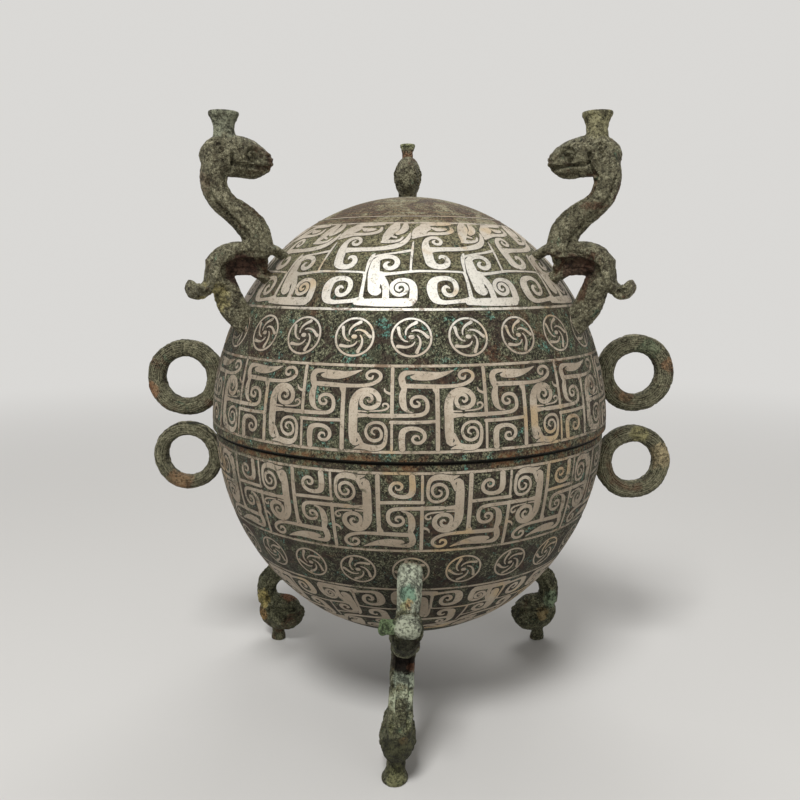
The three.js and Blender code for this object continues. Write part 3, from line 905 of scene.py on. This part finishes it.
def repeated(name, points, faces, copies, start, material):
    """A plain mesh object holding the panel repeated round the axis."""
    panel = bpy.data.meshes.new(name + "_panel")
    panel.from_pydata(points, [], faces)
    panel.update()
    obj = linked(name, panel)
    modifier = obj.modifiers.new("copies", "NODES")
    modifier.node_group = REPEATER
    sockets = REPEATER.interface.items_tree
    keys = {socket.name: socket.identifier for socket in sockets if socket.in_out == "INPUT"}
    modifier[keys["Copies"]] = copies
    modifier[keys["Start"]] = start
    modifier[keys["Finish"]] = material
    graph = bpy.context.evaluated_depsgraph_get()
    plain = bpy.data.meshes.new_from_object(obj.evaluated_get(graph))
    obj.modifiers.clear()
    obj.data = plain
    return obj


# For each half and band: how many panels go round, and the azimuth in degrees where one begins
ROUNDS = {
    "lid": {"fret": (16, -94.6), "whorls": (24, -97.5), "crown_fret": (11, -89.7)},
    "bowl": {"fret": (16, -87.4), "whorls": (24, -82.5), "crown_fret": (14, -69.3)},
}
WHORL_MARGIN = 2.2 * MM
INLAYS = (
    ("silver", silver_section, SILVER, "silver_inlay"),
    ("outline", cement_section, CEMENT, "bronze_body"),
)


def inlay_bands():
    """The fret, whorl and crown bands of both halves, each panel repeated round the axis."""
    for half, wires in ((LID, LID_WIRES), (BOWL, BOWL_WIRES)):
        rounds = ROUNDS[half.name]
        rim, middle, upper, crown = wires.values()
        low_whorl, high_whorl = middle + WHORL_MARGIN, upper - WHORL_MARGIN
        tall, wide = band_frame(half, low_whorl, high_whorl, rounds["whorls"][0])[2:4]
        bands = [
            ("fret", LOWER_PANEL, rim, middle),
            ("whorls", whorl(wide / tall), low_whorl, high_whorl),
            ("crown_fret", UPPER_PANEL + (CROWN_RING if half is LID else []), upper, crown),
        ]
        for label, strokes, low, high in bands:
            count, start = rounds[label]
            for kind, section, material, slot in INLAYS:
                points, faces = silver_panel(half, strokes, low, high, count, section)
                name = f"{half.name}_{label}_{kind}"
                settle(repeated(name, points, faces, count, math.radians(start), material), half.body, slot)


def tube(stations, sides, steps, channel=0.0):
    """Points and faces of a closed rounded body through stations of (out, up, thick, wide).

    channel is how deep a hollow runs along each side, as a share of the width.
    """
    path = smooth_path(stations, steps)
    rings = []
    for (out, up, thick, wide), way in zip(path, directions(path[:, :2])):
        ring = []
        for angle in around(sides):
            across = thick * math.cos(angle)
            kept = 1 - channel * math.exp(-((math.cos(angle) / 0.5) ** 2))
            ring.append((out - way[1] * across, kept * wide * math.sin(angle), up + way[0] * across))
        rings.append(ring)
    return skinned(rings)


def skinned(rings):
    """Points and faces of a closed body through rings of the same number of points."""
    sides = len(rings[0])
    points = [p for ring in rings for p in ring]
    faces = []
    for i in range(len(rings) - 1):
        for k in range(sides):
            n = (k + 1) % sides
            faces.append((i * sides + k, i * sides + n, (i + 1) * sides + n, (i + 1) * sides + k))
    last = (len(rings) - 1) * sides
    faces.append(tuple(range(sides))[::-1])
    faces.append(tuple(range(last, last + sides)))
    return points, faces


# One beast, about its seat on the wall, in mm: stations are (out, up, half thickness, half width)
BEAST_HEIGHT = 71.0
HEAD_UP = BEAST_HEIGHT - 20
BODY = [
    (-0.5, 8.6, 5.6, 5), (7.5, 9.8, 7, 6.4), (15.5, 9.6, 7.3, 6.7), (21.2, 5.8, 6.3, 6.4),
    (25.6, 0.8, 5.2, 5.6), (28.8, -2.6, 4.6, 5),
]
STRAP = [(4, 14.6, 2.4, 5.2), (-3, 14.3, 2.2, 4.4), (-8.6, 11.6, 2.2, 3.6), (-13, 7.4, 2.4, 3.2)]
LUG = [(5, 6, 3.4, 4.6), (0, 2.2, 3, 4.2), (-4, -1.6, 3, 4)]
LEG = [
    (20, 3, 5.2, 4.8), (18, -4, 5.8, 5), (15.3, -10.6, 6.2, 5.1), (10, -17.6, 5.8, 5.2),
    (6, -22, 5.6, 5.2),
]
NECK = [
    (1.6, 11, 6.2, 6), (2.8, 17, 6.6, 5.8), (4.6, 22.4, 6.6, 5.4), (10.4, 28, 6, 5.2),
    (16.2, 32.2, 5.3, 5.1), (20.4, 36.8, 5.6, 5.1), (22, 42.4, 5.7, 5.4), (21, HEAD_UP - 2, 6, 6),
]
HEAD = [
    (26.6, HEAD_UP + 0.2, 3, 3.4), (23.4, HEAD_UP + 1, 6.4, 6), (17, HEAD_UP + 2.2, 8.6, 7),
    (10.5, HEAD_UP + 1.9, 8.6, 7.2), (4.6, HEAD_UP + 0.8, 8, 6.4), (0, HEAD_UP + 0.1, 6.1, 5.4),
    (-3.2, HEAD_UP - 0.5, 3.2, 3.8),
]
CUP_FLATTENING = 0.86
# The cup on the head: share of its flare and height, from inside the head up to the flat sole
CUP = [(0.9, 53), (0.62, 56.5), (0.25, 60), (0.02, 63.4), (0.17, 66.2), (0.6, 68.4), (1, 69.8), (0.95, 71)]
TAIL_OUT = 30.4
TAIL_UP = -2.7
# The rolled tail: radius and place across, with a small curl out to one side
TAIL = [
    (0.5, -5.2), (3.4, -5), (4.9, -3.1), (4.9, 2.1), (4.2, 4.2), (3.2, 5.6), (3.1, 8), (3.5, 9.4),
    (3.2, 10.8), (2.1, 11.6), (0.3, 11.7),
]
# The swelling on each side of the body: its middle as (out, across, up), and its radii
HAUNCH = (22.5, 3.6, 1.6)
HAUNCH_RADII = (5.2, 2.6, 5.6)


def volute(centre, first, last, turns, start):
    """Points of a spiral line round a centre, between two radii, for a share of full turns."""
    steps = 18
    found = []
    for i in range(steps + 1):
        angle = start + 2 * math.pi * turns * i / steps
        radius = first + (last - first) * i / steps
        found.append((centre[0] + radius * math.cos(angle), centre[1] + radius * math.sin(angle)))
    return found


# Lines in relief on both sides: points as (out, up), half width and height in mm
HEAD_MARKS = [
    (volute((6.4, HEAD_UP + 1.6), 0.2, 4, 1.4, 0.6), 0.75, -1.6),
    (((9.6, HEAD_UP + 3.6), (13, HEAD_UP + 5), (17.5, HEAD_UP + 3.6), (19.5, HEAD_UP + 0.5)), 0.9, 0.4),
    (((-4, HEAD_UP - 2.8), (3, HEAD_UP - 2.6), (9, HEAD_UP - 2.4), (15.5, HEAD_UP - 2)), 0.7, -1.9),
    (((-4, HEAD_UP - 0.9), (0.6, HEAD_UP - 0.4)), 0.6, 0.5),
    (((-3.6, HEAD_UP + 1.1), (1.2, HEAD_UP + 1.7)), 0.6, 0.5),
    (((-2.4, HEAD_UP + 3.1), (2.2, HEAD_UP + 4)), 0.6, 0.5),
    (((18.6, HEAD_UP - 7), (15.4, HEAD_UP - 3), (15.8, HEAD_UP + 2)), 0.7, -1.7),
    (volute((20.6, HEAD_UP + 3.4), 0.3, 3, 1.2, 2), 0.6, -1),
]
BODY_MARKS = [
    (((-2, 5.6), (5, 6.4), (12, 6.6), (18, 4.6)), 3.7, -2.8),
    (((26.5, -1.5), (23.5, 6), (18.5, 12), (12, 14.8), (5, 14.6), (-4, 13.2)), 1.5, 0.7),
    (volute((TAIL_OUT - 0.2, TAIL_UP - 1.4), 0.2, 2.2, 0.5, 3.4), 0.9, -1),
]
# How far the line along the neck runs from its edge
NECK_EDGE = 1.7
# The two grooves up the outer side of the neck, in mm: how far aside they run, how deep, between
# which heights, and over what length they fade there
NECK_GROOVE_ASIDE = 3.4
NECK_GROOVE_SUNK = 0.9
NECK_GROOVE_ENDS = (27, 44)
NECK_GROOVE_FADE = 2
# The castings' skins: how fine their grid is, and how many times they are softened
SKIN_GRID = 0.42 * MM
SKIN_SOFTENED = 4


class Cast:
    """How one casting differs from the pattern: its head's length, thickness and width as shares and
    its rise, its cup's place, rim and waist, and how much longer its neck is."""

    def __init__(self, name, head, head_rise, cup, stretch):
        self.name = name
        self.head_long, self.head_thick, self.head_wide = head
        self.head_rise = head_rise
        self.cup_centre, self.cup_rim, self.cup_waist = cup
        self.stretch = stretch

    def stretched(self, stations):
        """Stations of (out, up, ...) moved up by the neck's added length."""
        found = []
        for out, up, *size in stations:
            share = min(1.0, max(0.0, (up - NECK_ROOT) / (NECK_TOP - NECK_ROOT)))
            found.append((out, up + share * self.stretch, *size))
        return found

    def head_out(self, out):
        """Where a place of the head's length comes, drawn towards the head's middle."""
        return HEAD_MIDDLE + (out - HEAD_MIDDLE) * self.head_long


HEAD_MIDDLE = 15.6
NECK_ROOT = 17
NECK_TOP = 42.4
SLIM = Cast("slim", (1, 1, 1.06), 0, (16.6, 6.6, 4.5), 0)
STOUT_KNOB = Cast("stout_knob", (1, 1.35, 1.1), -1.3, (16.6, 5.2, 3.6), 3.8)
STOUT_FOOT = Cast("stout_foot", (0.86, 1.22, 1.1), 1.2, (15.6, 4.3, 3.4), 0)


def cup(cast):
    """The flared cup on the beast's head."""
    rings = []
    for share, height in CUP:
        radius = cast.cup_waist + share * (cast.cup_rim - cast.cup_waist)
        up = height + cast.stretch
        rings.append([
            (cast.cup_centre + radius * math.cos(turn), CUP_FLATTENING * radius * math.sin(turn), up)
            for turn in around(32)
        ])
    return skinned(rings)


def tail():
    """The rolled tail with its side curl."""
    rings = []
    for radius, across in TAIL:
        rings.append([
            (TAIL_OUT + radius * math.cos(turn), across, TAIL_UP + radius * math.sin(turn))
            for turn in around(24)
        ])
    return skinned(rings)


def haunch(side):
    """The ellipsoid swelling on one side of the body."""
    rings = []
    for i in range(1, 8):
        lean = math.pi * i / 8
        long, wide, tall = HAUNCH_RADII
        rings.append([
            (
                HAUNCH[0] + long * math.sin(lean) * math.cos(turn),
                side * HAUNCH[1] + wide * math.sin(lean) * math.sin(turn),
                HAUNCH[2] + tall * math.cos(lean),
            )
            for turn in around(12)
        ])
    return skinned(rings)


def neck_lines(cast):
    """The line that runs just inside each edge of the neck's sides."""
    path = smooth_path(cast.stretched(NECK), 4)
    ways = directions(path[:, :2])
    found = []
    for side in (1, -1):
        offset = side * (path[:, 2] - NECK_EDGE)
        line = [(out - way[1] * o, up + way[0] * o) for (out, up, _, _), way, o in zip(path, ways, offset)]
        found.append((line[3:-4], 0.6, -1.1))
    return found


def near_line(places, line):
    """How far each (out, up) lies from a line through points."""
    best = np.full(len(places), 1e9)
    for a, b in zip(np.array(line[:-1]), np.array(line[1:])):
        way = b - a
        share = np.clip((places - a) @ way / (way @ way), 0, 1)
        best = np.minimum(best, np.linalg.norm(places - a - share[:, None] * way, axis=1))
    return best


def relief(cast, rest, normals):
    """How far the marks raise or sink each point of a form along its normal, in metres."""
    places = rest[:, [0, 2]] / MM
    marks = list(BODY_MARKS) + neck_lines(cast)
    for line, half_width, high in HEAD_MARKS:
        moved = [(cast.head_out(out), up + cast.head_rise + cast.stretch) for out, up in line]
        marks.append((moved, half_width, high))
    total = np.zeros(len(places))
    for line, half_width, high in marks:
        total += high * eased(near_line(places, line), half_width + 0.5, half_width - 0.4)
    sides = total * eased(np.abs(normals[:, 1]), 0.2, 0.55)
    start, end = NECK_GROOVE_ENDS
    neck = eased(rest[:, 2], (start - NECK_GROOVE_FADE) * MM, (start + NECK_GROOVE_FADE) * MM)
    neck *= eased(rest[:, 2], (end + NECK_GROOVE_FADE) * MM, (end - NECK_GROOVE_FADE) * MM)
    neck *= eased(normals[:, 0], 0.3, 0.7)
    aside = np.abs(np.abs(rest[:, 1]) - NECK_GROOVE_ASIDE * MM)
    grooves = -NECK_GROOVE_SUNK * eased(aside, 0.9 * MM, 0.3 * MM)
    return (sides + neck * grooves) * MM


def beast_form(cast):
    """One beast about its seat on the wall, as a single cast skin, in metres."""
    points, faces = [], []
    head = [
        (cast.head_out(out), up + cast.head_rise, thick * cast.head_thick, wide * cast.head_wide)
        for out, up, thick, wide in HEAD
    ]
    rods = (STRAP, LUG, LEG, cast.stretched(NECK), cast.stretched(head))
    parts = [tube(BODY, 28, 7, 0.3)] + [tube(rod, 24, 7) for rod in rods]
    parts += [cup(cast), tail(), haunch(1), haunch(-1)]
    for part_points, part_faces in parts:
        first = len(points)
        points += [scaled(p, MM) for p in part_points]
        faces += [tuple(first + i for i in f) for f in part_faces]
    mesh = bpy.data.meshes.new("beast_form")
    mesh.from_pydata(points, [], faces)
    facing_out(mesh)
    obj = linked("beast_form", mesh)
    remesh = obj.modifiers.new("skin", "REMESH")
    remesh.mode = "VOXEL"
    remesh.voxel_size = SKIN_GRID
    soften = obj.modifiers.new("soften", "SMOOTH")
    soften.factor = 0.5
    soften.iterations = SKIN_SOFTENED
    graph = bpy.context.evaluated_depsgraph_get()
    plain = bpy.data.meshes.new_from_object(obj.evaluated_get(graph))
    bpy.data.objects.remove(obj)
    return plain


# Each casting: node, half, azimuth in degrees, radius of its seat in mm, its cast, and its lean
# aside and inwards in degrees
BEASTS = [
    ("foot_front", BOWL, -90, 74, SLIM, 4.2, 0),
    ("foot_rear_right", BOWL, 28.5, 74, STOUT_FOOT, 0, 2.5),
    ("foot_rear_left", BOWL, 151.5, 74, STOUT_FOOT, 0, 2.5),
    ("knob_rear", LID, 90, 72, STOUT_KNOB, 0, 0),
    ("knob_front_right", LID, -30, 74.6, SLIM, 0, 0),
    ("knob_front_left", LID, -150, 74.6, SLIM, 0, 0),
]
BEAST_SINK = 0.5 * MM
LEAN_PIVOT = -21 * MM
# The pocket in the front foot's neck: its ends up the neck, half its width, its depth, its soft edge
# and how far out it starts and is full
POCKET_UP = (19.8 * MM, 26.6 * MM)
POCKET_HALF = 2.6 * MM
POCKET_DEPTH = 4 * MM
POCKET_EDGE = 0.7 * MM
POCKET_OUT = (6 * MM, 8 * MM)
# The hollow that makes the tail's end curl up, in mm: its lowest part above and inwards of the
# tail's middle, how far it rises over how much of its length, where it starts, and its top
HOLLOW_LOW = 0.6
HOLLOW_IN = 0.8
HOLLOW_RISE = 4.2
HOLLOW_LENGTH = 4.6
HOLLOW_START = 4.8
HOLLOW_TOP = 9
# The front foot's side curl starts this far across and has no hollow
FRONT_CURL_START = 5.4


def with_pocket(rest):
    """Sinks the dark pocket into the outer side of the neck's root."""
    out, across, up = rest.T
    inside = eased(up, POCKET_UP[0] - POCKET_EDGE, POCKET_UP[0] + POCKET_EDGE)
    inside *= eased(up, POCKET_UP[1] + POCKET_EDGE, POCKET_UP[1] - POCKET_EDGE)
    inside *= eased(np.abs(across), POCKET_HALF + POCKET_EDGE, POCKET_HALF - POCKET_EDGE)
    inside *= eased(out, *POCKET_OUT)
    return np.column_stack([out - inside * POCKET_DEPTH, across, up])


def within_box(places):
    """Keeps a crust's grain inside the construction's own box."""
    margin = 1e-6
    return np.clip(places, np.array(cad_low) + margin, np.array(cad_high) - margin)


def crescent(rest, reach):
    """Hollows the top of the rolled tail, as far across as reach, so that its end curls up."""
    out, across, up = rest.T
    along = (out / MM - TAIL_OUT + HOLLOW_IN) / HOLLOW_LENGTH
    top = TAIL_UP * MM + HOLLOW_LOW * MM + HOLLOW_RISE * MM * along**2
    inside = (out > (TAIL_OUT - HOLLOW_START) * MM) & (up < HOLLOW_TOP * MM) & (across < reach * MM)
    return np.column_stack([out, across, np.where(inside, np.minimum(up, top), up)])


def mesh_values(form, attribute):
    """The points or normals of a mesh as rows."""
    found = np.zeros(len(form.vertices) * 3)
    form.vertices.foreach_get(attribute, found)
    return found.reshape(-1, 3)


def seated(shape, half, degrees, seat, top, aside, inwards):
    """Points of a casting in the frame: leaning, cut flat at its top, and kept out of the wall."""
    leaning = shape[:, 2] - LEAN_PIVOT
    seat_level = half.height * math.sqrt(1 - (seat / half.radius) ** 2)
    level = np.minimum(shape[:, 2], top) + seat_level
    across = shape[:, 1] + math.tan(math.radians(aside)) * leaning
    out = shape[:, 0] - math.tan(math.radians(inwards)) * leaning + seat
    depth = np.hypot(np.hypot(out, across) / (half.radius - BEAST_SINK), level / (half.height - BEAST_SINK))
    push = np.where(depth < 1, 1 / depth, 1.0)
    out, across, level = out * push, half.side * across * push, level * push
    turn = math.radians(degrees)
    return within_box(np.column_stack([
        out * math.cos(turn) - across * math.sin(turn),
        out * math.sin(turn) + across * math.cos(turn),
        half.seam + half.side * level,
    ]))


def beasts():
    forms = {cast.name: beast_form(cast) for cast in (SLIM, STOUT_KNOB, STOUT_FOOT)}
    for number, (node, half, degrees, seat, cast, aside, inwards) in enumerate(BEASTS):
        form = forms[cast.name]
        in_front = node == "foot_front"
        rest = crescent(mesh_values(form, "co"), FRONT_CURL_START if in_front else math.inf)
        normals = mesh_values(form, "normal")
        rest = rest + normals * relief(cast, rest, normals)[:, None]
        smooth = with_pocket(rest) if in_front else rest
        crusted = np.array(roughened(smooth, normals, number + 1))
        top = (BEAST_HEIGHT + cast.stretch) * MM
        plain = eased(smooth[:, 2], top - 2 * MM, top - 1 * MM)[:, None]
        shape = crusted * (1 - plain) + smooth * plain
        mesh = form.copy()
        places = seated(shape, half, degrees, seat * MM, top, aside, inwards)
        mesh.vertices.foreach_set("co", places.ravel())
        mesh.update()
        mesh.materials.clear()
        mesh.materials.append(FOOT_BRONZE if half is BOWL else KNOB_BRONZE)
        facing_out(mesh)
        settle(linked(f"{node}_casting", mesh), half.body, "bronze_beast", node)


# Sizes of the rings in mm: the hole's radius, half the thickness, and half the root's height
RING_HOLE = 10.4
RING_HALF = 4.5
RING_ROOT = 7.5
# How far a root reaches inwards of its ring, into the wall, in mm
ROOT_REACH = 4.5
# The rings' section: how square it is, and how many worn grooves it has and how deep
RING_SQUARENESS = 0.72
RING_GROOVES = 9
GROOVE_DEPTH = 0.035


def hoop(half, way, level, centre, outer, seed):
    """Points and faces of one ring, a little uneven with its crust and worn into grooves."""
    sides, steps = 40, 220
    points, normals, faces = [], [], []
    for turn in around(steps):
        drift = noise.noise(Vector((math.cos(turn), math.sin(turn), seed)) * 1.7)
        for angle in around(sides):
            circle = (math.cos(angle), math.sin(angle))
            shape = [math.copysign(abs(c) ** RING_SQUARENESS, c) for c in circle]
            worn = 1 - GROOVE_DEPTH * max(0, math.sin(RING_GROOVES * angle + 5 * drift))
            radius = (outer + RING_HOLE) / 2 + (outer - RING_HOLE) / 2 * shape[0] * worn
            points.append((
                way * (centre + radius * math.cos(turn)) * MM,
                way * RING_HALF * shape[1] * worn * MM,
                half.seam + half.side * (level + radius * math.sin(turn)) * MM,
            ))
            normals.append((
                way * math.cos(angle) * math.cos(turn),
                way * math.sin(angle),
                half.side * math.cos(angle) * math.sin(turn),
            ))
    for i in range(steps):
        for k in range(sides):
            j, n = (i + 1) % steps, (k + 1) % sides
            faces.append([i * sides + k, i * sides + n, j * sides + n, j * sides + k])
    return within_box(np.array(roughened(points, normals, seed))), faces


def ring_handles():
    for seed, (half, side, level, centre, outer) in enumerate(RINGS, 11):
        way = 1 if side == "right" else -1
        node = f"{half.name}_ring_{side}"
        points, faces = hoop(half, way, level, centre, outer, seed)
        piece(f"{node}_hoop", points, faces, RING_BRONZE, half.body, "bronze_ring")
        stations = [
            (centre - outer - ROOT_REACH, 0, RING_ROOT + 1.2, 4.2),
            (centre - outer, 0, RING_ROOT, 4),
            (centre - (outer + RING_HOLE) / 2, 0, RING_ROOT - 1.5, 3.6),
        ]
        points, faces = tube(stations, 24, 4)
        places = [
            (way * x * MM, way * y * MM, half.seam + half.side * (level + z) * MM)
            for x, y, z in points
        ]
        piece(f"{node}_root", places, faces, RING_BRONZE, half.body, "bronze_ring", node)


lid_shell()
bowl_shell()
border_wires()
inlay_bands()
beasts()
ring_handles()


# The photograph's camera, from its measured view: focal length in pixels of an 800 pixel frame
PICTURE = 800
FOCAL_PIXELS = 797.9
PITCH = math.radians(8.99)
CAMERA_BACK = 397.2 * MM
CAMERA_UP = BOWL_SEAM + 73 * MM
AXIS_PIXEL = 409


def camera():
    data = bpy.data.cameras.new("camera")
    data.sensor_width = 36
    data.lens = FOCAL_PIXELS / PICTURE * data.sensor_width
    obj = linked("camera", data)
    side = -(AXIS_PIXEL - PICTURE / 2) / FOCAL_PIXELS * CAMERA_BACK
    obj.location = (side, -CAMERA_BACK, CAMERA_UP)
    obj.rotation_euler = (math.pi / 2 - PITCH, 0, 0)
    bpy.context.scene.camera = obj


FLOOR_HALF = 4.0
FLOOR_COLOUR = (0.62, 0.61, 0.59)
BACKDROP_COLOUR = (0.7, 0.69, 0.67)
# How far from the axis the floor starts to fade into the backdrop, and where it is gone, in metres
FADE_START = 0.3
FADE_END = 1.3


def floor():
    """A plain floor that keeps the shadow and fades into the backdrop for rays that see it far away."""
    corners = [(x * FLOOR_HALF, y * FLOOR_HALF, 0) for x, y in ((-1, -1), (1, -1), (1, 1), (-1, 1))]
    mesh = bpy.data.meshes.new("floor")
    mesh.from_pydata(corners, [], [(0, 1, 2, 3)])
    m = Maker(bpy.data.materials.new("floor"))
    mesh.materials.append(m.finish(Base_Color=FLOOR_COLOUR, Roughness=0.85, Specular_IOR_Level=0.2))
    far = m.band(m.distance((0, 0, 0)), FADE_START, FADE_END)
    m.seen_as("ShaderNodeEmission", far, "Material Output")
    linked("floor", mesh)


# Each lamp: name, place and size in metres, watts. They point at the middle of the vessel
LAMPS = (
    ("key", (-0.25, -0.9, 1.4), 0.45, 21),
    ("fill", (0.7, -1.0, 0.5), 0.8, 2),
    ("back", (0.2, 1.0, 1.2), 0.8, 6),
)
LAMP_AIM = Vector((0, 0, 0.14))
WORLD_COLOUR = (0.95, 0.93, 0.9)
WORLD_STRENGTH = 0.3


def studio():
    """Soft lamps, and a world that lights the object but shows the backdrop's colour."""
    for name, place, size, watts in LAMPS:
        data = bpy.data.lights.new(name, "AREA")
        data.size = size
        data.energy = watts
        obj = linked(name, data)
        obj.location = place
        obj.rotation_euler = (LAMP_AIM - Vector(place)).to_track_quat("-Z", "Y").to_euler()
    m = Maker(bpy.data.worlds.new("studio"), "Background")
    m.seen_as("ShaderNodeBackground", 1, "World Output")
    bpy.context.scene.world = m.finish(Color=WORLD_COLOUR, Strength=WORLD_STRENGTH)


camera()
floor()
studio()
bpy.context.scene.view_settings.view_transform = "Standard"
